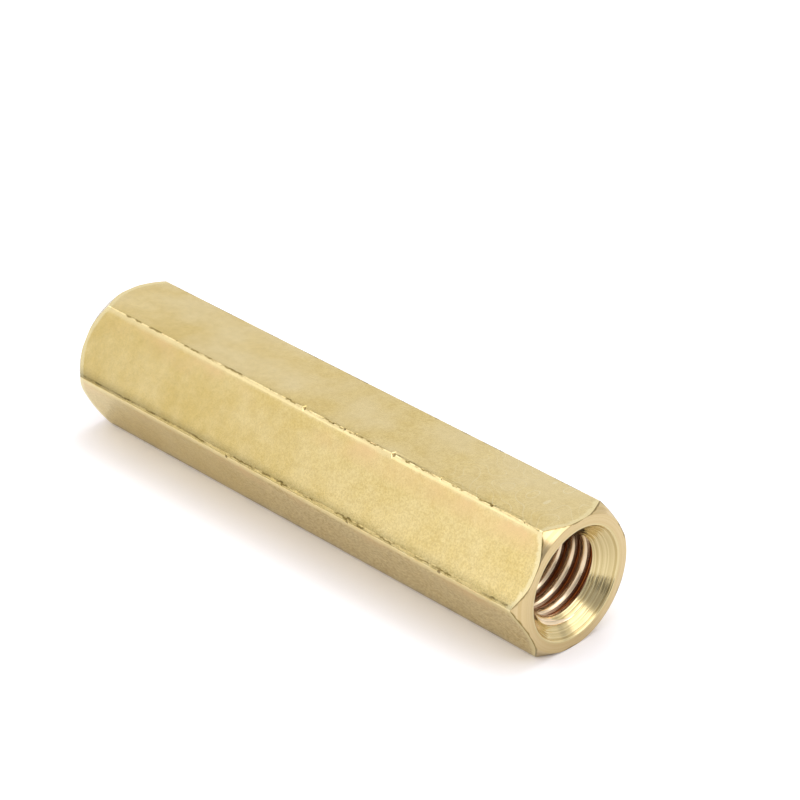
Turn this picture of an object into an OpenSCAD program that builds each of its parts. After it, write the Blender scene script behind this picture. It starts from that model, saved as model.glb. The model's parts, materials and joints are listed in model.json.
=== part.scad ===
// Hexagonal standoff: a spacer cut from drawn hexagonal bar, with a tapped hole right
// through it, so that a screw can enter from either end. It lies on one of its flats,
// with its length along X and the middle of that flat at the origin.

/* [Bar] */
// Distance between two opposite flats of the hexagon
across_flats = 4.5; // [4:0.1:12]
// Radius of the six long corners, left by the drawing die
corner_r = 0.05; // [0.02:0.01:0.5]
// Length from one end face to the other
bar_l = 20; // [6:0.5:60]

/* [Thread] */
// Nominal diameter of the screw that the hole takes
thread_d = 3; // [2:0.1:3.8]
// Pitch of the screw thread
thread_pitch = 0.5; // [0.3:0.05:0.8]

/* [Ends] */
// How much wider the turned end face is than the bar is across its flats
face_extra = 0.04; // [-0.4:0.01:0.2]
// Width of the flat ring between the outer chamfer and the countersink
ring_w = 0.31; // [0.1:0.01:0.6]
// Angle between the outer chamfer and the axis of the bar
chamfer_angle = 38; // [20:1:70]
// Full angle of the cone that is countersunk into each end of the hole
countersink_angle = 90; // [60:1:120]

/* [Hidden] */
$fn = 128;

// The round end face is a hair wider than the flats, so each flat cuts a short straight
// edge on it. The chamfer runs out there and is deepest at the corners.
face_d = across_flats + face_extra;
// A round that only touched its two flats would meet them along no clear line, so each is
// set this little further out, and the flats cut across it.
corner_proud = corner_r / 100;
// Rounding takes the tip off each corner, so the bar is a little narrower than a sharp
// hexagon across its corners.
corner_centre_r = (across_flats / 2 - corner_r) / cos(30);
across_corners = 2 * (corner_centre_r + corner_proud + corner_r);
chamfer_l = (across_corners - face_d) / 2 / tan(chamfer_angle);

// The drill that goes before a tap leaves a hole smaller than the thread by one pitch.
tap_drill_d = thread_d - thread_pitch;
countersink_d = face_d - 2 * ring_w;
countersink_l = (countersink_d - tap_drill_d) / 2 / tan(countersink_angle / 2);

// How far the tools run past the metal, so that no cut ends flush with a face.
overrun = 0.1;

// Cross-section of the bar, with a flat at the top and one at the bottom. The six rounds
// and the strips between them fill it out to just past the flats, and the three pairs of
// flats then cut it to size.
module bar_section() {
    intersection() {
        union() {
            for (corner = [0:60:300])
                rotate(corner) translate([corner_centre_r + corner_proud, 0]) circle(r = corner_r);
            for (side = [0:60:120])
                rotate(side) square([corner_centre_r, across_flats + 2 * overrun], center = true);
        }
        intersection_for (side = [0:60:120])
            rotate(side) square([2 * across_corners, across_flats], center = true);
    }
}

// Half of the outline that the lathe leaves when it faces and chamfers both ends.
// Distance from the axis is X, and place along the bar is Y.
module turned_profile() {
    middle_r = across_corners / 2 + overrun;
    middle_l = bar_l / 2 - (middle_r - face_d / 2) / tan(chamfer_angle);
    polygon([
        [0, -bar_l / 2],
        [face_d / 2, -bar_l / 2],
        [middle_r, -middle_l],
        [middle_r, middle_l],
        [face_d / 2, bar_l / 2],
        [0, bar_l / 2],
    ]);
}

// Half of the outline of the hole: the drilled bore, opening into a cone at each end.
module hole_profile() {
    mouth_r = countersink_d / 2 + overrun * tan(countersink_angle / 2);
    throat_l = bar_l / 2 - countersink_l;
    polygon([
        [0, -bar_l / 2 - overrun],
        [mouth_r, -bar_l / 2 - overrun],
        [tap_drill_d / 2, -throat_l],
        [tap_drill_d / 2, throat_l],
        [mouth_r, bar_l / 2 + overrun],
        [0, bar_l / 2 + overrun],
    ]);
}

// The whole piece, standing on end: drawn bar, turned at its ends, then drilled.
module upright_standoff() {
    difference() {
        intersection() {
            linear_extrude(bar_l + 2 * overrun, center = true) bar_section();
            rotate_extrude() turned_profile();
        }
        rotate_extrude() hole_profile();
    }
}

// The piece laid along X on one of its flats.
module standoff() {
    color([0.86, 0.77, 0.52])
        translate([0, 0, across_flats / 2])
        rotate([0, 90, 0])
        rotate(90)
        upright_standoff();
}

standoff();
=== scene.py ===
# %% [markdown]
# # A brass hex standoff
#
# A standoff holds a circuit board off a panel. This one is a length of drawn hexagonal
# brass bar, 4.5 mm across its flats and 20 mm long. A lathe has faced and chamfered both
# ends, a drill and a countersink have opened it, and a tap has cut an M3 thread right
# through. It is modelled in the order in which it is made: first the bar, then each tool
# as a solid of its own that is taken away from it. One piece comes out, as on the bench.

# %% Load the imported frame
import json
import math
import random

import bpy
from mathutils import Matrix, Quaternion, Vector


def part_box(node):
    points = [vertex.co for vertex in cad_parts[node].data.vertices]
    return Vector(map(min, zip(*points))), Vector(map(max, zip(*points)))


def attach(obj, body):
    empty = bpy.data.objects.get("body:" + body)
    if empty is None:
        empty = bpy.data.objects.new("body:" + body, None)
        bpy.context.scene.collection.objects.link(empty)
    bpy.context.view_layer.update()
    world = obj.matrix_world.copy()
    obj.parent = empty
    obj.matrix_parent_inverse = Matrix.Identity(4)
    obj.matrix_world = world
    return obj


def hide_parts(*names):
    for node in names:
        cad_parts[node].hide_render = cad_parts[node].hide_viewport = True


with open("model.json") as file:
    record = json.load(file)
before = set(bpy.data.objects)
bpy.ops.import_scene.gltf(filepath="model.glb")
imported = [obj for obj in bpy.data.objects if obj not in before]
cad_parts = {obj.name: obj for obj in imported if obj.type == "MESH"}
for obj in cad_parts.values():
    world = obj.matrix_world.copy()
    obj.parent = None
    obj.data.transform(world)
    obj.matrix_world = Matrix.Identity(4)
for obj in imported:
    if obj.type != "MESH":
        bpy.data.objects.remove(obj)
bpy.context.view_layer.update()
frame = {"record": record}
MM = 0.001

# %% [markdown]
# ## Sizes
#
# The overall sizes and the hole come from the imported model, so the new mesh sits exactly
# where the CAD solid is. The few sizes that its record doesn't hold are the drawing's own:
# the end faces, the ring round the countersink, the chamfer's angle and the pitch.
#
# A drill of 2.5 mm makes the hole for an M3 thread, and the sharp crests of a new thread
# would reach in as far as that. On this one they look rounded and low, so they stand
# 0.08 mm farther out, which is slightly more open than the standard allows.

# %% Sizes of the standoff
low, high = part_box("standoff")
bar_l = high.x - low.x
across_flats = high.z - low.z
axis_z = (low.z + high.z) / 2
end_x = bar_l / 2
thread_mount = frame["record"]["mounts"][0]

drill_r = thread_mount["dims"]["r_mm"] * MM
crest_wear = 0.08 * MM
crest_r = drill_r + crest_wear
root_r = drill_r + 0.30 * MM
pitch = 0.5 * MM
face_r = across_flats / 2 + 0.02 * MM
ring_w = 0.31 * MM
mouth_r = face_r - ring_w
lip_flare = 0.05 * MM
sink_foot = end_x - (mouth_r - lip_flare - crest_r)
thread_turn = 0.75           # where the thread starts, in turns from straight up
chamfer_angle = math.radians(38)
print("bar", round(bar_l / MM, 3), "mm long,", round(across_flats / MM, 3), "mm across flats")
print("thread", round(2 * root_r / MM, 3), "mm over its roots, pitch", pitch / MM, "mm")

# %% [markdown]
# ## Camera
#
# The standoff is small, so it is seen through a long close-up lens from a hand's breadth
# away, which keeps the far end nearly as large as the near one. The camera looks down on
# the bar and along it, and leans a little to one side. A camera can be placed by its
# location and rotation angles, but it is easier to read when it is given as a compass
# direction, a height and a distance from the point that it aims at.

# %% Camera
camera_azimuth = math.radians(43.35)
camera_elevation = math.radians(29.61)
camera_lean = math.radians(1.84)
camera_distance = 108.99 * MM
aim = Vector((-1.387, 4.096, 2.25)) * MM

towards_camera = Vector((
    math.sin(camera_azimuth) * math.cos(camera_elevation),
    -math.cos(camera_azimuth) * math.cos(camera_elevation),
    math.sin(camera_elevation),
))
camera_data = bpy.data.cameras.new("close_up_camera")
camera_data.sensor_width = 36
camera_data.lens = 149.68
camera_data.clip_start = 0.01
camera_data.clip_end = 10
camera = bpy.data.objects.new("close_up_camera", camera_data)
bpy.context.scene.collection.objects.link(camera)
camera.location = aim + towards_camera * camera_distance
camera.rotation_mode = "QUATERNION"
camera.rotation_quaternion = (
    (-towards_camera).to_track_quat("-Z", "Y") @ Quaternion((0, 0, 1), camera_lean)
)
bpy.context.scene.camera = camera
bpy.context.scene.view_settings.view_transform = "Standard"
print("camera at", [round(c / MM, 1) for c in camera.location], "mm")

# %% [markdown]
# ## Two helpers for materials
#
# Colours are written as the hex values that a paint program shows, and turned into the
# linear light that Blender works in. A node is added with its settings, values and links
# in one call, so that a material reads as a list of steps.

# %% Helpers for materials
def linear(hex_colour):
    """An sRGB colour such as 'e8d09a' as linear red, green, blue and alpha."""
    channels = [int(hex_colour[i:i + 2], 16) / 255 for i in (0, 2, 4)]
    return [c / 12.92 if c <= 0.04045 else ((c + 0.055) / 1.055) ** 2.4 for c in channels] + [1]


def add_node(tree, kind, inputs=None, **settings):
    """Adds a node. Each input is given a value, or the node or socket that feeds it."""
    node = tree.nodes.new("ShaderNode" + kind)
    for name, value in settings.items():
        setattr(node, name, value)
    for socket, value in (inputs or {}).items():
        if isinstance(value, bpy.types.Node):
            value = next(output for output in value.outputs if output.enabled)
        if isinstance(value, bpy.types.NodeSocket):
            tree.links.new(value, node.inputs[socket])
        else:
            node.inputs[socket].default_value = value
    return node


# %% [markdown]
# ## The light: a small tent of cloth
#
# Polished metal has hardly a colour of its own: it shows what is round it. So the light
# is planned by direction, as in a light tent for small shiny goods: a soft box overhead,
# white cloth round the sides, a dark opening for the lens, and a dim room low in front.
# Area lamps could do it, each with a card beside it, but the world's shader can paint all
# of them as soft-edged patches on the sphere of directions, and nothing gets in the way.
# What the camera itself sees behind the object is plain white.

# %% A patch of the tent
world = bpy.data.worlds.new("light_tent")
bpy.context.scene.world = world
world.use_nodes = True
sky = world.node_tree
sky.nodes.clear()
direction = add_node(sky, "TexCoord").outputs["Generated"]


def compass(azimuth, elevation):
    """The direction that lies this many degrees right of the front and above the floor."""
    turn, rise = math.radians(azimuth), math.radians(elevation)
    return Vector((
        math.sin(turn) * math.cos(rise), -math.cos(turn) * math.cos(rise), math.sin(rise)))


def patch(under, towards, inner, outer, level):
    """Lays a round patch of this level over what is under it; its soft edge runs from the
    inner angle to the outer one."""
    facing = add_node(sky, "VectorMath", {0: direction, 1: compass(*towards)},
                      operation="DOT_PRODUCT")
    mask = add_node(sky, "MapRange", {
        "Value": facing.outputs["Value"],
        "From Min": math.cos(math.radians(outer)),
        "From Max": math.cos(math.radians(inner)),
    }, interpolation_type="SMOOTHSTEP")
    return add_node(sky, "Mix", {0: mask, 6: under, 7: (level, level, level, 1)},
                    data_type="RGBA")


# %% The tent's cloth, boxes and gaps
tent = (0.85, 0.84, 0.80, 1)
tent = patch(tent, (-5, 18), 15, 38, 1.34)       # cloth in front, lit by the soft box
tent = patch(tent, (-60, 62), 22, 40, 1.50)      # soft box overhead
tent = patch(tent, (-122, 48), 3, 10, 0.40)      # gap between the back cloth and the box
tent = patch(tent, (98, 50), 11, 20, 2.1)        # a second soft box, on the right
tent = patch(tent, (122, 43), 9, 17, 1.75)       # and its far end
tent = patch(tent, (-40, 0), 3, 14, 0.20)        # dim strip under the cloth
tent = patch(tent, (64, 26), 9, 22, 0.45)        # whoever stands behind the camera
tent = patch(tent, (58, 9), 4, 11, 0.22)         # the lens
tent = patch(tent, (62, -4), 7, 11, 0.25)        # the table's dark edge below the lens
tent = patch(tent, (83, 3), 6, 13, 0.10)         # the dark side of the room
tent = patch(tent, (151, 24), 3, 9, 0.60)        # seam of the back cloth
tent = patch(tent, (182, 69), 12, 22, 3.2)       # the key lamp, high behind the bar
light_path = add_node(sky, "LightPath")
seen = add_node(sky, "Mix", {
    0: light_path.outputs["Is Camera Ray"], 6: tent, 7: (1, 1, 1, 1),
}, data_type="RGBA")
background = add_node(sky, "Background", {"Color": seen, "Strength": 1.0})
add_node(sky, "OutputWorld", {"Surface": background})
print("tent painted with", len(sky.nodes), "nodes")

# %% [markdown]
# ## Places on the standoff
#
# The wear on a turned part follows its making: it runs along the corners and round the
# axis. So each material first works out where a point lies: how far along the bar, how
# far out from the axis, and at what turn round it. A UV map could hold this too, but it
# would have to be made again after every cut, and Object coordinates never slide. All of
# the patterns below are in millimetres, so a noise of scale 4 has about four lumps a mm.

# %% Helpers that measure a place
def new_material(name):
    """A material with an empty node tree."""
    material = bpy.data.materials.new(name)
    material.use_nodes = True
    material.node_tree.nodes.clear()
    return material, material.node_tree


def measure(tree):
    """Places on the piece in millimetres: the vector from its axis, and along, out, turn."""
    place = add_node(tree, "TexCoord").outputs["Object"]
    vector = add_node(tree, "Mapping", {
        "Vector": place, "Location": (0, 0, -axis_z / MM), "Scale": (1 / MM, 1 / MM, 1 / MM)})
    parts = add_node(tree, "SeparateXYZ", {0: vector})
    side = add_node(tree, "CombineXYZ", {"Y": parts.outputs["Y"], "Z": parts.outputs["Z"]})
    out = add_node(tree, "VectorMath", {0: side}, operation="LENGTH").outputs["Value"]
    turn = add_node(tree, "Math", {0: parts.outputs["Y"], 1: parts.outputs["Z"]},
                    operation="ARCTAN2")
    return vector, parts.outputs["X"], out, turn


def flat_reach(tree, out, turn):
    """How far out a point lies along the normal of the nearest flat, in mm."""
    fold = add_node(tree, "Math", {0: turn, 1: math.pi / 6}, operation="PINGPONG")
    fold = add_node(tree, "Math", {0: fold}, operation="COSINE")
    return add_node(tree, "Math", {0: fold, 1: out}, operation="MULTIPLY")


# %% [markdown]
# ## Drawn brass
#
# The six flats are as the drawing die left them: bright but not polished, with a cloudy
# sheen from years in a bin with others. A die drags short crooked strokes along the metal,
# really about 0.02 mm wide and drawn here at 0.07 mm so that they show. The material is
# built in layers, the widest first, and each is one mask and one colour:
#
# - clouds of two tones, 1.5 to 2 mm across, a little paler towards the seen end
# - strokes of grain, darker and paler brass
# - dust and hair-fine swirls on the flat that faces up

# %% Clouds and grain
drawn_brass, tree = new_material("drawn_brass")
vector, along, out, turn = measure(tree)
height = add_node(tree, "SeparateXYZ", {0: vector}).outputs["Z"]
flat_r = across_flats / 2 / MM

clouds = add_node(tree, "TexNoise", {"Vector": vector, "Scale": 0.6, "Detail": 5, "Roughness": 0.65})
drift = add_node(tree, "Math", {0: along, 1: 0.006, 2: clouds}, operation="MULTIPLY_ADD")
cloud_mask = add_node(tree, "MapRange", {"Value": drift, "From Min": 0.35, "From Max": 0.65})
tone = add_node(tree, "Mix", {0: cloud_mask, 6: linear("e3c984"), 7: linear("efd9a0")},
                data_type="RGBA")

grain = add_node(tree, "TexNoise", {"Vector": vector, "Scale": 14, "Detail": 1,
                                    "Distortion": 0.8})
grain_mask = add_node(tree, "MapRange", {"Value": grain, "From Min": 0.38, "From Max": 0.62})
strokes = add_node(tree, "Mix", {0: grain_mask, 6: linear("c2a658"), 7: linear("ffeda8")},
                   data_type="RGBA")
coarse_end = add_node(tree, "MapRange", {"Value": along, "From Min": -5, "From Max": 3,
                                         "To Min": 0.08, "To Max": 0.24})
tone = add_node(tree, "Mix", {0: coarse_end, 6: tone, 7: strokes}, data_type="RGBA")

# %% Dust and swirls on the flat that faces up
dust_noise = add_node(tree, "TexNoise", {"Vector": vector, "Scale": 0.5, "Detail": 3})
dust_patch = add_node(tree, "MapRange", {"Value": dust_noise, "From Min": 0.38, "From Max": 0.62,
                                         "To Min": 0.10, "To Max": 0.65})
on_top = add_node(tree, "MapRange", {"Value": height, "From Min": flat_r - 0.10,
                                     "From Max": flat_r - 0.02})
dust = add_node(tree, "Math", {0: dust_patch, 1: on_top}, operation="MULTIPLY")
tone = add_node(tree, "Mix", {0: dust, 6: tone, 7: linear("eedcae")}, data_type="RGBA")

# a swirl is a contour line of a slow noise
swirl_noise = add_node(tree, "TexNoise", {"Vector": vector, "Scale": 0.9, "Detail": 0})
swirl = add_node(tree, "Math", {0: swirl_noise, 1: 0.07}, operation="PINGPONG")
swirl = add_node(tree, "MapRange", {"Value": swirl, "From Min": 0.005, "From Max": 0.002})
near_end = add_node(tree, "MapRange", {"Value": along, "From Min": 4.5, "From Max": 6.0,
                                       "To Max": 0.45})
swirl = add_node(tree, "Math", {0: swirl, 1: on_top}, operation="MULTIPLY")
swirl = add_node(tree, "Math", {0: swirl, 1: near_end}, operation="MULTIPLY")
tone = add_node(tree, "Mix", {0: swirl, 6: tone, 7: linear("fbf0cc")}, data_type="RGBA")

# %% [markdown]
# The lower flats are touched less, so the lines that the die drew along the bar still
# show there, and the metal has browned a little. The noise is stretched along the bar by
# giving it fewer lumps per mm that way than across. All of this wear is plainest on the
# half of the bar that is seen from near by, and fades to a third on the other.

# %% Die lines on the lower flats
stretched = add_node(tree, "Mapping", {"Vector": vector, "Scale": (10, 18, 18)})
die_lines = add_node(tree, "TexNoise", {"Vector": stretched, "Scale": 1, "Detail": 1})
die_mask = add_node(tree, "MapRange", {"Value": die_lines, "From Min": 0.38, "From Max": 0.62})
lined = add_node(tree, "Mix", {0: die_mask, 6: linear("b08e58"), 7: linear("fff0ca")},
                 data_type="RGBA")
handled = add_node(tree, "MapRange", {"Value": along, "From Min": -4, "From Max": 0,
                                      "To Min": 0.35, "To Max": 1.0})
underneath = add_node(tree, "MapRange", {"Value": height, "From Min": 0.0, "From Max": -0.25,
                                         "To Max": 0.45})
underneath = add_node(tree, "Math", {0: underneath, 1: handled}, operation="MULTIPLY")
tone = add_node(tree, "Mix", {0: underneath, 6: tone, 7: lined}, data_type="RGBA")

# %% [markdown]
# ### Wear, painted highlight and painted reflection along the corners
#
# A corner of the bar is handled, dropped and rubbed more than a flat. A painted highlight, a pale
# band, runs along the lower side of each corner. A painted reflection of the dark room, a thin
# broken dark line, runs just above it. The distance to the nearest corner gives both masks. It is
# wound round the bar in sixths of a turn and mirrored from side to side, so that "above" is the side
# that faces up on every corner. A little noise along it makes the band's edge look chipped.

# %% Distance to the nearest corner
round_turn = add_node(tree, "Math", {0: turn}, operation="ABSOLUTE")
corner_turn = add_node(tree, "Math", {0: -math.pi / 6, 1: round_turn}, operation="SUBTRACT")
off_corner = add_node(tree, "Math", {0: corner_turn, 1: math.pi / 6, 2: -math.pi / 6},
                      operation="WRAP")
mm_per_turn = flat_r / math.cos(math.pi / 6) ** 2
straight = add_node(tree, "Math", {0: off_corner, 1: mm_per_turn}, operation="MULTIPLY")
chips = add_node(tree, "TexNoise", {"Vector": vector, "Scale": 4.5, "Detail": 3, "Roughness": 0.6})
chip_swing = add_node(tree, "MapRange", {"Value": chips, "From Min": 0.3, "From Max": 0.7,
                                         "To Min": -0.05, "To Max": 0.05})
chipping = add_node(tree, "Math", {0: chip_swing, 1: handled}, operation="MULTIPLY")
beside = add_node(tree, "Math", {0: straight, 1: chipping}, operation="ADD")
print("a corner is", round(mm_per_turn * math.pi / 6, 3), "mm from the middle of a flat")

# %% Blush, painted highlight and painted dark reflection
# blush: a warmer patch here and there, up to 1.1 mm below a corner
blush_noise = add_node(tree, "TexNoise", {"Vector": vector, "Scale": 0.35, "Detail": 2})
blush_patch = add_node(tree, "MapRange", {"Value": blush_noise, "From Min": 0.46,
                                          "From Max": 0.62})
near_corner = add_node(tree, "MapRange", {"Value": straight, "From Min": -1.1, "From Max": -0.3})
below = add_node(tree, "MapRange", {"Value": straight, "From Min": 0.05, "From Max": 0.0})
near_corner = add_node(tree, "Math", {0: near_corner, 1: below}, operation="MULTIPLY")
blush_mask = add_node(tree, "Math", {0: blush_patch, 1: near_corner}, operation="MULTIPLY")
tone = add_node(tree, "Mix", {0: blush_mask, 6: tone, 7: linear("efcf98")}, data_type="RGBA")

# painted highlight: a pale band about 0.2 mm wide on the lower side of each corner
painted_highlight_band = add_node(tree, "MapRange", {"Value": beside, "From Min": -0.28, "From Max": -0.08},
                interpolation_type="SMOOTHSTEP")
lower_side = add_node(tree, "MapRange", {"Value": beside, "From Min": 0.03, "From Max": -0.01})
painted_highlight_band = add_node(tree, "Math", {0: painted_highlight_band, 1: lower_side}, operation="MULTIPLY")
tone = add_node(tree, "Mix", {0: painted_highlight_band, 6: tone, 7: linear("f4e0aa")}, data_type="RGBA")

# painted reflection of the dark room: a dark line 0.1 mm wide, which lies farther above the corners
# halfway down the bar
centre = add_node(tree, "MapRange", {"Value": height, "From Min": 0.0, "From Max": flat_r,
                                     "To Min": 0.12, "To Max": 0.0})
from_line = add_node(tree, "Math", {0: beside, 1: centre}, operation="SUBTRACT")
from_line = add_node(tree, "Math", {0: from_line}, operation="ABSOLUTE")
line = add_node(tree, "MapRange", {"Value": from_line, "From Min": 0.05, "From Max": 0.015})
breaks = add_node(tree, "TexNoise", {"Vector": vector, "Scale": 1.3, "Detail": 4,
                                     "Roughness": 0.7})
unbroken = add_node(tree, "MapRange", {"Value": breaks, "From Min": 0.42, "From Max": 0.55,
                                       "To Min": 0.2, "To Max": 0.95})
painted_dark_line = add_node(tree, "Math", {0: line, 1: unbroken}, operation="MULTIPLY")
tone = add_node(tree, "Mix", {0: painted_dark_line, 6: tone, 7: linear("806c38")}, data_type="RGBA")

# %% [markdown]
# ### Burr, nicks and gloss
#
# Where the lathe's chamfer cuts into a flat it pushes up a bright lip, which follows the chamfer's
# curve. Whatever lies clearly below the flats, which is the floor of each nick, is painted dark
# brown. A gentle mottle and a very shallow bump finish the flats: a thousandth of a millimetre is
# enough, because polished metal shows the least slope.
# Brass is a metal, so its colour is the reflection's own; a roughness of 0.22 is that of
# a drawn surface that was never polished.

# %% Burr, nicks and gloss
cone_slope = math.tan(chamfer_angle)
ends_at = add_node(tree, "Math", {0: along}, operation="ABSOLUTE")
cone_at = add_node(tree, "Math", {0: ends_at, 1: -cone_slope,
                                  2: (face_r + end_x * cone_slope) / MM},
                   operation="MULTIPLY_ADD")
to_chamfer = add_node(tree, "Math", {0: cone_at, 1: out}, operation="SUBTRACT")
to_chamfer = add_node(tree, "Math", {0: to_chamfer, 1: chipping}, operation="ADD")
burr = add_node(tree, "MapRange", {"Value": to_chamfer, "From Min": 0.15, "From Max": 0.09})
tone = add_node(tree, "Mix", {0: burr, 6: tone, 7: linear("f7e6b4")}, data_type="RGBA")

reach = flat_reach(tree, out, turn)
# the floor of each nick, clearly below the flats, is painted dark brown
dark_nick_floor = add_node(tree, "MapRange", {"Value": reach, "From Min": flat_r - 0.032,
                                     "From Max": flat_r - 0.050, "To Max": 0.75})
tone = add_node(tree, "Mix", {0: dark_nick_floor, 6: tone, 7: linear("6b5428")}, data_type="RGBA")

mottle = add_node(tree, "TexNoise", {"Vector": vector, "Scale": 4, "Detail": 2})
mottle_swing = add_node(tree, "MapRange", {"Value": mottle, "From Min": 0.3, "From Max": 0.7,
                                           "To Min": 0.97, "To Max": 1.03})
tone = add_node(tree, "VectorMath", {0: tone, "Scale": mottle_swing}, operation="SCALE")

drawn_bump = add_node(tree, "Bump", {"Height": grain, "Distance": 0.0009 * MM})
drawn_shader = add_node(tree, "BsdfPrincipled", {
    "Base Color": tone, "Metallic": 1, "Roughness": 0.22, "Normal": drawn_bump})
add_node(tree, "OutputMaterial", {"Surface": drawn_shader})
print(drawn_brass.name, "has", len(tree.nodes), "nodes")

# %% [markdown]
# ## Turned brass
#
# The end faces, chamfers and countersinks are fresh cuts. A lathe tool leaves rings round
# the axis, unevenly spaced because the feed and the metal are never quite even: about 0.07
# mm apart on a facing cut and a little closer in a countersink. The rings are a noise of
# one dimension, read along the distance from the axis, which wanders by 0.02 mm. The cut
# is smoother than the drawn flats, with a roughness of 0.14, so it mirrors more clearly,
# and the rings' bump draws each reflection out into fine lines. One function makes both
# finishes, since they differ only in their tones and the depth of their rings.

# %% Turned brass
def turned_finish(name, dark, light, rings_per_mm, ring_depth):
    """Brass cut on the lathe: fine rings round the axis, a little unevenly spaced."""
    material, tree = new_material(name)
    vector, along, out, turn = measure(tree)
    wander = add_node(tree, "TexNoise", {"Vector": vector, "Scale": 1.2, "Detail": 0})
    radius = add_node(tree, "Math", {0: wander, 1: 0.02, 2: out}, operation="MULTIPLY_ADD")
    rings = add_node(tree, "TexNoise", {"W": radius, "Scale": rings_per_mm, "Detail": 2},
                     noise_dimensions="1D")
    ring_tone = add_node(tree, "MapRange", {"Value": rings, "From Min": 0.3, "From Max": 0.7})
    tone = add_node(tree, "Mix", {0: ring_tone, 6: linear(dark), 7: linear(light)},
                    data_type="RGBA")

    # a dark line, 0.02 to 0.05 mm wide, where the chamfer runs into a flat
    reach = flat_reach(tree, out, turn)
    inside = add_node(tree, "Math", {0: flat_r, 1: reach}, operation="SUBTRACT")
    uneven = add_node(tree, "TexNoise", {"Vector": vector, "Scale": 3, "Detail": 2})
    width = add_node(tree, "MapRange", {"Value": uneven, "From Min": 0.35, "From Max": 0.65,
                                        "To Min": -0.02, "To Max": 0.02})
    inside = add_node(tree, "Math", {0: inside, 1: width}, operation="ADD")
    seam = add_node(tree, "MapRange", {"Value": inside, "From Min": 0.04, "From Max": 0.015,
                                       "To Max": 0.85})
    tone = add_node(tree, "Mix", {0: seam, 6: tone, 7: linear("8a7440")}, data_type="RGBA")

    bump = add_node(tree, "Bump", {"Height": rings, "Distance": ring_depth})
    shader = add_node(tree, "BsdfPrincipled", {
        "Base Color": tone, "Metallic": 1, "Roughness": 0.14, "Normal": bump})
    add_node(tree, "OutputMaterial", {"Surface": shader})
    print(name, "has", len(tree.nodes), "nodes")
    return material


turned_brass = turned_finish("turned_brass", "d9bf8e", "e4cda0", 14, 0.0035 * MM)
countersunk_brass = turned_finish("countersunk_brass", "d0b984", "f0deae", 18, 0.0090 * MM)

# %% [markdown]
# ## Tapped brass
#
# A tap tears as it cuts, so the thread is streaked along its helix. The streaks have to
# follow the thread, and not a circle: a point's place in the helix is its distance along
# the bar in pitches plus its turn, and the sine and cosine of that close the pattern on
# itself once a pitch. Real streaks are finer than 0.05 mm, and are drawn at about 0.08 mm
# so that they show.
#
# Light and shade in the thread are painted into its colour. Painted shade, a dark brown, lies in the
# roots and on the side of each crest that faces into the bar. A pale painted highlight lies on the
# side that faces its own opening, and on the last turn, where the thread runs out in the
# countersink. The same place in the helix, counted from the middle of a crest and mirrored between
# the two ends, gives that mask.

# %% Place in the helix
tapped_brass, tree = new_material("tapped_brass")
vector, along, out, turn = measure(tree)
first_crest = -end_x + (thread_turn + 0.5) * pitch
pitches = add_node(tree, "Math", {0: along, 1: MM / pitch, 2: -first_crest / pitch},
                   operation="MULTIPLY_ADD")
turns = add_node(tree, "Math", {0: turn, 1: 1 / (2 * math.pi), 2: pitches},
                 operation="MULTIPLY_ADD")
phase = add_node(tree, "Math", {0: turns, 1: 2 * math.pi}, operation="MULTIPLY")
phase_sin = add_node(tree, "Math", {0: phase}, operation="SINE")
phase_cos = add_node(tree, "Math", {0: phase}, operation="COSINE")
out_far = add_node(tree, "Math", {0: out, 1: 9.0}, operation="MULTIPLY")
lead = add_node(tree, "CombineXYZ", {"X": phase_sin, "Y": phase_cos, "Z": out_far})
streaks = add_node(tree, "TexNoise", {"Vector": lead, "Scale": 1.1, "Detail": 3,
                                      "Roughness": 0.6})

# %% Painted highlight and painted shade on the thread
# the middle of the pale painted highlight on each crest
lit_middle = 0.15          # pitches from the middle of a crest towards its opening
end_side = add_node(tree, "Math", {0: along}, operation="SIGN")
outward_turns = add_node(tree, "Math", {0: turns, 1: end_side, 2: -lit_middle},
                         operation="MULTIPLY_ADD")
in_pitch = add_node(tree, "Math", {0: outward_turns, 1: 0.5, 2: -0.5}, operation="WRAP")
off_lit = add_node(tree, "Math", {0: in_pitch}, operation="ABSOLUTE")
# painted shade: dark brown in the roots and on the sides that face into the bar, pale painted
# highlight elsewhere
painted_thread_shade = add_node(tree, "MapRange", {"Value": off_lit, "From Min": 0.18, "From Max": 0.25})
ends_at = add_node(tree, "Math", {0: along}, operation="ABSOLUTE")
inner = add_node(tree, "MapRange", {"Value": ends_at, "From Min": sink_foot / MM + 0.05,
                                    "From Max": sink_foot / MM - 0.05})
painted_thread_shade = add_node(tree, "Math", {0: painted_thread_shade, 1: inner}, operation="MULTIPLY")
tone = add_node(tree, "Mix", {0: painted_thread_shade, 6: linear("f7dfc0"), 7: linear("8f5228")},
                data_type="RGBA")
streak_swing = add_node(tree, "MapRange", {"Value": streaks, "From Min": 0.36, "From Max": 0.52,
                                           "To Min": 0.30, "To Max": 1.10})
tone = add_node(tree, "VectorMath", {0: tone, "Scale": streak_swing}, operation="SCALE")
tapped_bump = add_node(tree, "Bump", {"Height": streaks, "Distance": 0.012 * MM})
tapped_shader = add_node(tree, "BsdfPrincipled", {
    "Base Color": tone, "Metallic": 1, "Roughness": 0.18, "Normal": tapped_bump})
add_node(tree, "OutputMaterial", {"Surface": tapped_shader})
print(tapped_brass.name, "has", len(tree.nodes), "nodes")

# %% [markdown]
# ## The bar, as it is drawn
#
# The bar starts as a cylinder with six sides, turned so that it lies on a flat with its
# axis along X. It is left half a millimetre long at each end, because the lathe will face
# it. A drawn bar isn't a perfect prism: its flats fall away a little towards the corners,
# which shows as a pale margin beside each one, and the corners are rounded. Both are made
# by bevels. The wide one is almost flat, so its profile is worked out from the slope that
# the margin should have; the last one is the round of the corner itself.
#
# Edges are selected in code by what they are: those that run along the bar, at least so
# far from its axis. That goes on working when a size changes, where a list of edge
# numbers wouldn't.

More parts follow.
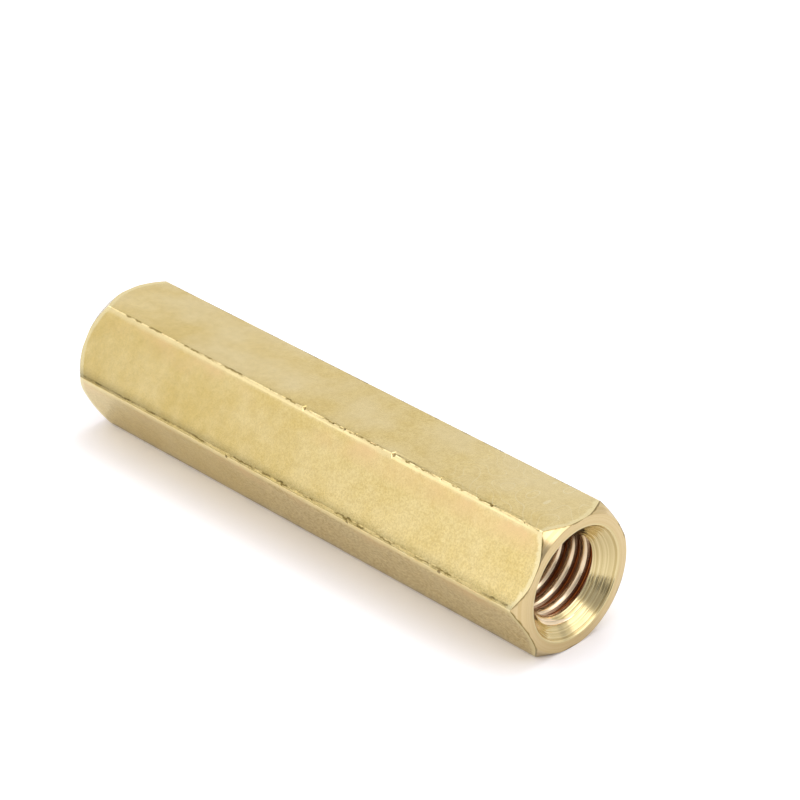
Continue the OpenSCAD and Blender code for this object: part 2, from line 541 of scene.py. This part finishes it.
# %% Helpers for modelling
def edit(piece):
    """Puts one piece into edit mode, with nothing selected."""
    bpy.ops.object.select_all(action="DESELECT")
    bpy.context.view_layer.objects.active = piece
    piece.select_set(True)
    bpy.ops.object.mode_set(mode="EDIT")
    bpy.ops.mesh.select_all(action="DESELECT")


def pick(piece, kind, wanted):
    """Selects the vertices, edges or faces for which wanted(element) is true."""
    bpy.ops.mesh.select_mode(type=kind)
    bpy.ops.mesh.select_all(action="DESELECT")
    bpy.ops.object.mode_set(mode="OBJECT")
    mesh = piece.data
    elements = {"VERT": mesh.vertices, "EDGE": mesh.edges, "FACE": mesh.polygons}[kind]
    count = 0
    for element in elements:
        element.select = bool(wanted(element))
        count += element.select
    bpy.ops.object.mode_set(mode="EDIT")
    return count


def leave(piece):
    """Back to object mode, with the piece no longer selected."""
    bpy.ops.object.mode_set(mode="OBJECT")
    piece.select_set(False)


# %% Drawn bar
spare = 0.5 * MM
bpy.ops.object.select_all(action="DESELECT")
bpy.ops.mesh.primitive_cylinder_add(
    vertices=6, radius=across_flats / 2 / math.cos(math.pi / 6), depth=bar_l + 2 * spare,
    location=(0, 0, axis_z), rotation=(0, math.pi / 2, 0))
standoff = bpy.context.object
standoff.name = "hex_standoff"
bpy.ops.object.transform_apply(location=True, rotation=True)
standoff.data.materials.append(drawn_brass)


def lines_beyond(reach):
    """A test for the edges that run along the bar at least this far from its axis."""
    def wanted(edge):
        a, b = (standoff.data.vertices[v].co for v in edge.vertices)
        middle = (a + b) / 2
        runs_along = abs(a.x - b.x) > bar_l / 2
        return runs_along and math.hypot(middle.y, middle.z - axis_z) > reach
    return wanted


# %% Margins and rounded corners
margin_w = 0.30 * MM
margin_tilt = math.radians(5)
margin_fall = margin_w * math.tan(margin_tilt) / math.cos(math.pi / 6)
margin_round = 0.14 * MM
corner_r = 0.07 * MM
corner_reach = 2.5 * MM      # only a sharp corner lies farther from the axis than this,
margin_reach = 2.3 * MM      # and only a margin's edge between this and that
round_reach = 2.53 * MM      # the last bevel takes the edges that lie farther than this
edit(standoff)
print("sloped", pick(standoff, "EDGE", lines_beyond(corner_reach)), "corners")
bpy.ops.mesh.bevel(offset=margin_w, segments=2, profile=(1 - margin_fall / margin_w) ** 2,
                   affect="EDGES")
print("eased", pick(standoff, "EDGE", lambda e: lines_beyond(margin_reach)(e)
                    and not lines_beyond(corner_reach)(e)), "margins")
bpy.ops.mesh.bevel(offset=margin_round, segments=3, profile=0.5, affect="EDGES")
print("rounded", pick(standoff, "EDGE", lines_beyond(round_reach)), "corners")
bpy.ops.mesh.bevel(offset=corner_r * math.tan(math.radians(25)), segments=6, profile=0.5,
                   affect="EDGES", clamp_overlap=False)
leave(standoff)

# %% [markdown]
# ## Taking a tool away
#
# Every cut from here on is the same step: a tool is modelled as a closed solid, and one
# Boolean takes it away. The exact solver is used, since the cuts have to stay closed, and
# each tool hands its own material to the faces that it cuts. So a chamfer is turned brass
# because a lathe tool made it, and nothing has to be painted afterwards.
#
# The first tools are small: a corner that has knocked against others in a bin has nicks
# in it. Each nick is a bite of a short seven-sided rod laid across the corner, a few
# hundredths of a millimetre deep, slanted by a seeded random angle.

# %% Helper for a cut
def take(piece, tool, operation, material):
    """Applies one Boolean to the piece, its new faces in the tool's material."""
    tool.data.materials.clear()
    tool.data.materials.append(material)
    bpy.ops.object.select_all(action="DESELECT")
    bpy.context.view_layer.objects.active = piece
    piece.select_set(True)
    bpy.ops.object.modifier_add(type="BOOLEAN")
    boolean = piece.modifiers[-1]
    boolean.operation = operation
    boolean.solver = "EXACT"
    boolean.material_mode = "TRANSFER"
    boolean.object = tool
    bpy.ops.object.modifier_apply(modifier=boolean.name)
    bpy.data.objects.remove(tool)
    print(piece.name, operation.lower(), len(piece.data.polygons), "faces")


# %% Nicks in the corners
upper_nicks = ((-0.4, 0.05), (0.9, 0.03), (1.4, 0.04), (1.9, 0.03), (3.5, 0.06), (5.5, 0.03),
               (7.6, 0.04), (8.9, 0.03))        # place along the bar and depth, in mm
lower_nicks = ((-2.6, 0.04), (2.8, 0.05), (6.7, 0.06))
rounded_reach = 2.56 * MM    # what the rounded corners reach from the axis
nick_l = 0.8 * MM
random.seed(12)
nicks = []
for corner_angle, places in ((30, upper_nicks), (90, lower_nicks)):
    angle = math.radians(corner_angle)
    outward = Vector((0, -math.sin(angle), math.cos(angle)))
    across = outward.cross(Vector((1, 0, 0)))
    for x, depth_mm in places:
        nick_r = random.uniform(1.2, 2.2) * depth_mm * MM
        centre = outward * (rounded_reach + nick_r - depth_mm * MM)
        slant = Quaternion(outward, random.uniform(-0.7, 0.7))
        bpy.ops.mesh.primitive_cylinder_add(
            vertices=7, radius=nick_r, depth=nick_l,
            location=(x * MM, centre.y, centre.z + axis_z),
            rotation=(slant @ across.to_track_quat("Z", "X")).to_euler())
        nicks.append(bpy.context.object)

# %% Cut the nicks
bpy.ops.object.select_all(action="DESELECT")
for nick in nicks:
    nick.select_set(True)
bpy.context.view_layer.objects.active = nicks[0]
bpy.ops.object.join()
nick_tool = bpy.context.object
bpy.ops.object.transform_apply(location=True, rotation=True)
take(standoff, nick_tool, "DIFFERENCE", drawn_brass)

# %% [markdown]
# ## Faced and chamfered ends
#
# On the lathe the bar turns against the tool, so everything that the tool leaves is round:
# the two end faces and the cones that clip the corners off. Their common shape is a
# cylinder a little larger than the corners with a cone at each end, and what is left of
# the bar is what lies inside it, so this Boolean is an intersection. That gives the
# curved line where each chamfer meets a flat for nothing. The sharp rim of each end face
# is broken by 0.02 mm, as by a touch of a file, so that it catches a line of light.

# %% Turned ends
around = 256
middle_r = 2.7 * MM
slope_l = (middle_r - face_r) / math.tan(chamfer_angle)
bpy.ops.mesh.primitive_cylinder_add(
    vertices=around, radius=middle_r, depth=bar_l - 2 * slope_l,
    location=(0, 0, axis_z), rotation=(0, math.pi / 2, 0))
turned_form = bpy.context.object
bpy.ops.object.transform_apply(location=True, rotation=True)
edit(turned_form)
for side in (-1, 1):
    pick(turned_form, "FACE", lambda f: f.normal.x * side > 0.9)
    bpy.ops.mesh.extrude_region_move(TRANSFORM_OT_translate={"value": (side * slope_l, 0, 0)})
    bpy.ops.transform.resize(value=(1, face_r / middle_r, face_r / middle_r),
                             center_override=(side * end_x, 0, axis_z))
edge_break = 0.02 * MM
print("broke", pick(turned_form, "EDGE", lambda e: all(
    abs(turned_form.data.vertices[v].co.x) > end_x - edge_break for v in e.vertices)), "edges")
bpy.ops.mesh.bevel(offset=edge_break, segments=2, affect="EDGES")
leave(turned_form)
take(standoff, turned_form, "INTERSECT", turned_brass)

# %% [markdown]
# ## The thread
#
# The tap is modelled as the solid that it removes: a rod with a ridge wound round it. Its
# outline over one pitch is drawn from a single point by extruding it along, down one
# flank, up the other and along. The low point between the flanks becomes the crest of
# the finished thread and is given a generous round, as a tap leaves it in soft brass; the
# high corners become the roots and get a small one. The Screw modifier sweeps the outline
# round X and moves it on by a pitch each turn, and the turns are merged into one skin.
#
# The Screw leaves both ends open. Two bisects cut the tap off just outside the standoff
# and fill the cuts. Their threshold has to be far below the mesh's own size, here a tenth
# of a micrometre, or points near the cut are pulled onto it and the fill leaves gaps.

# %% The tap's outline over one pitch
steps = 96
flank_angle = math.radians(30)
root_w = 0.06 * MM
root_round = 0.025 * MM
tip_r = root_r - (pitch - root_w) / 2 / math.tan(flank_angle)
crest_round = (crest_r - tip_r) / (1 - math.sqrt(0.5)) / (2 * math.cos(flank_angle))
start = Vector((-end_x - 3 * pitch + thread_turn * pitch, 0, root_r))
bpy.ops.mesh.primitive_plane_add(size=pitch)
tap = bpy.context.object
edit(tap)
bpy.ops.mesh.select_mode(type="VERT")
bpy.ops.mesh.select_all(action="SELECT")
bpy.ops.mesh.merge(type="CENTER")
bpy.ops.transform.translate(value=start)
flank = Vector(((pitch - root_w) / 2, 0, tip_r - root_r))
for step in ((root_w / 2, 0, 0), flank, (flank.x, 0, -flank.z), (root_w / 2, 0, 0)):
    bpy.ops.mesh.extrude_vertices_move(TRANSFORM_OT_translate={"value": step})
pick(tap, "VERT", lambda v: v.co.z < crest_r)
bpy.ops.mesh.bevel(offset=crest_round, segments=8, affect="VERTICES",
                   clamp_overlap=False)
pick(tap, "VERT", lambda v: v.co.z > root_r - 0.001 * MM and start.x + root_w / 4 < v.co.x
     < start.x + pitch - root_w / 4)
bpy.ops.mesh.bevel(offset=root_round, segments=2, affect="VERTICES")
leave(tap)
print("tap outline", len(tap.data.vertices), "points,", round(min(v.co.z for v in
      tap.data.vertices) / MM, 4), "mm at its crest")

# %% Wind the tap and cut it off
tap.select_set(True)
bpy.context.view_layer.objects.active = tap
bpy.ops.object.modifier_add(type="SCREW")
screw = tap.modifiers[-1]
screw.axis = "X"
screw.screw_offset = pitch
screw.iterations = math.ceil(bar_l / pitch) + 6
screw.steps = steps
screw.render_steps = steps
bpy.ops.object.modifier_apply(modifier=screw.name)
edit(tap)
bpy.ops.mesh.select_all(action="SELECT")
bpy.ops.mesh.remove_doubles(threshold=0.002 * MM)
overshoot = 0.3 * MM
for side in (-1, 1):
    bpy.ops.mesh.select_all(action="SELECT")
    bpy.ops.mesh.bisect(plane_co=(side * (end_x + overshoot), 0, 0), plane_no=(side, 0, 0),
                        use_fill=True, clear_outer=True, threshold=0.0001 * MM)
bpy.ops.mesh.select_all(action="SELECT")
bpy.ops.mesh.normals_make_consistent(inside=False)
bpy.ops.transform.translate(value=(0, 0, axis_z))
leave(tap)
print("tap", len(tap.data.polygons), "faces")

# %% Cut the thread
take(standoff, tap, "DIFFERENCE", tapped_brass)

# %% [markdown]
# ## Countersinks
#
# A countersink is turned in each end with a pointed bit, so that a screw finds its way in.
# Its cone of 90 degrees is as wide as the ring of end face round it allows. Where the bit
# comes out, it rolls the mouth's edge over, so the cone flares for the last hundredth of
# a millimetre. The tool is a cone; its outer face is extruded through the end face and
# widened, which makes the flare and carries the tool past the surface at the same time.
# A Boolean is safest when its tool ends in the open.

# %% Countersinks
sink_l = 1.2 * MM
lip_l = 0.012 * MM
for side in (-1, 1):
    lip_r = mouth_r - lip_flare
    lip_x = side * (end_x - lip_l)
    bpy.ops.object.select_all(action="DESELECT")
    bpy.ops.mesh.primitive_cone_add(
        vertices=192, radius1=lip_r, radius2=lip_r - sink_l, depth=sink_l,
        location=(lip_x - side * sink_l / 2, 0, axis_z), rotation=(0, -side * math.pi / 2, 0))
    cone = bpy.context.object
    bpy.ops.object.transform_apply(location=True, rotation=True)
    edit(cone)
    pick(cone, "FACE", lambda f: f.normal.x * side > 0.9)
    stretch = 1 + 2 * lip_flare / lip_r
    bpy.ops.mesh.extrude_region_move(
        TRANSFORM_OT_translate={"value": (2 * side * lip_l, 0, 0)})
    bpy.ops.transform.resize(value=(1, stretch, stretch),
                             center_override=(side * end_x, 0, axis_z))
    leave(cone)
    take(standoff, cone, "DIFFERENCE", countersunk_brass)

# %% [markdown]
# ## Smooth and sharp
#
# Curved faces are shaded smooth where they meet at less than 30 degrees. One place needs
# more care: where the thread runs out in a countersink, its flank is only 15 degrees off
# the cone, and smooth shading across that edge would smear a false reflection over the
# cone. Wherever one tool's cut meets another's there is a real edge, so the outline of
# every material is marked sharp first, and the smoothing keeps those marks. Before that,
# the slivers that Booleans leave, with edges shorter than a micrometre, are
# dissolved.

# %% Clear the slivers
edit(standoff)
bpy.ops.mesh.select_all(action="SELECT")
bpy.ops.mesh.dissolve_degenerate(threshold=0.0008 * MM)
leave(standoff)
print(len(standoff.data.polygons), "faces are left")

# %% Sharp where two cuts meet
edit(standoff)
for slot_index, slot in enumerate(standoff.material_slots):
    bpy.ops.mesh.select_mode(type="FACE")
    bpy.ops.mesh.select_all(action="DESELECT")
    standoff.active_material_index = slot_index
    bpy.ops.object.material_slot_select()
    bpy.ops.mesh.region_to_loop()
    bpy.ops.mesh.mark_sharp()
    print(slot.material.name, "is outlined")
leave(standoff)
standoff.select_set(True)
bpy.context.view_layer.objects.active = standoff
bpy.ops.object.shade_smooth_by_angle(angle=math.radians(30))
standoff.select_set(False)

# %% [markdown]
# ## Paper to lie on
#
# The standoff lies on one flat on a sheet of white paper, which keeps its shadow. The
# sheet ends to the right of the view: past its edge the metal sees the dark room, and
# that is the dark patch in the countersink. Paper reflects about 80 % of the light, and
# that is the value which the metal sees; the camera sees it a little brighter and cooler,
# so that it is white wherever the shadow doesn't reach. From below the sheet is clear,
# and it has a window under the standoff, well inside its lowest flat, so that the flat
# can be seen from there too.

# %% Paper
paper_size = 1.6             # metres
paper_gap = 0.002 * MM
bpy.ops.object.select_all(action="DESELECT")
bpy.ops.mesh.primitive_plane_add(size=paper_size, location=(0, 0, low.z - paper_gap))
floor = bpy.context.object
floor.name = "paper_floor"
bpy.ops.object.transform_apply(location=True)
edit(floor)
bpy.ops.mesh.select_all(action="SELECT")
sheet_edge = compass(70, 0)
sheet_reach = 23 * MM
bpy.ops.mesh.bisect(plane_co=sheet_edge * sheet_reach, plane_no=sheet_edge,
                    clear_outer=True)
window = Vector((end_x - 0.35 * MM, across_flats / 4, 0))
for axis in (0, 1):
    for side in (-1, 1):
        normal = Vector((0, 0, 0))
        normal[axis] = side
        bpy.ops.mesh.select_all(action="SELECT")
        bpy.ops.mesh.bisect(plane_co=normal * window[axis], plane_no=normal)
print("opened", pick(floor, "FACE", lambda f: abs(f.center.x) < window.x
                     and abs(f.center.y) < window.y), "window")
bpy.ops.mesh.delete(type="FACE")
leave(floor)

# %% White paper
paper, tree = new_material("white_paper")
paths = add_node(tree, "LightPath")
white = add_node(tree, "Mix", {
    0: paths.outputs["Is Camera Ray"], 6: (0.80, 0.80, 0.80, 1), 7: (1.03, 1.015, 1.08, 1),
}, data_type="RGBA")
paper_shader = add_node(tree, "BsdfDiffuse", {"Color": white})
clear = add_node(tree, "BsdfTransparent")
back = add_node(tree, "NewGeometry").outputs["Backfacing"]
both = add_node(tree, "MixShader", {0: back, 1: paper_shader, 2: clear})
add_node(tree, "OutputMaterial", {"Surface": both})
floor.data.materials.append(paper)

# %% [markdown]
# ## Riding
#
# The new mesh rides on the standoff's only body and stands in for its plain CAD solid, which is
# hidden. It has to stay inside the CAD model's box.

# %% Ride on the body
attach(standoff, "root")
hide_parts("standoff")
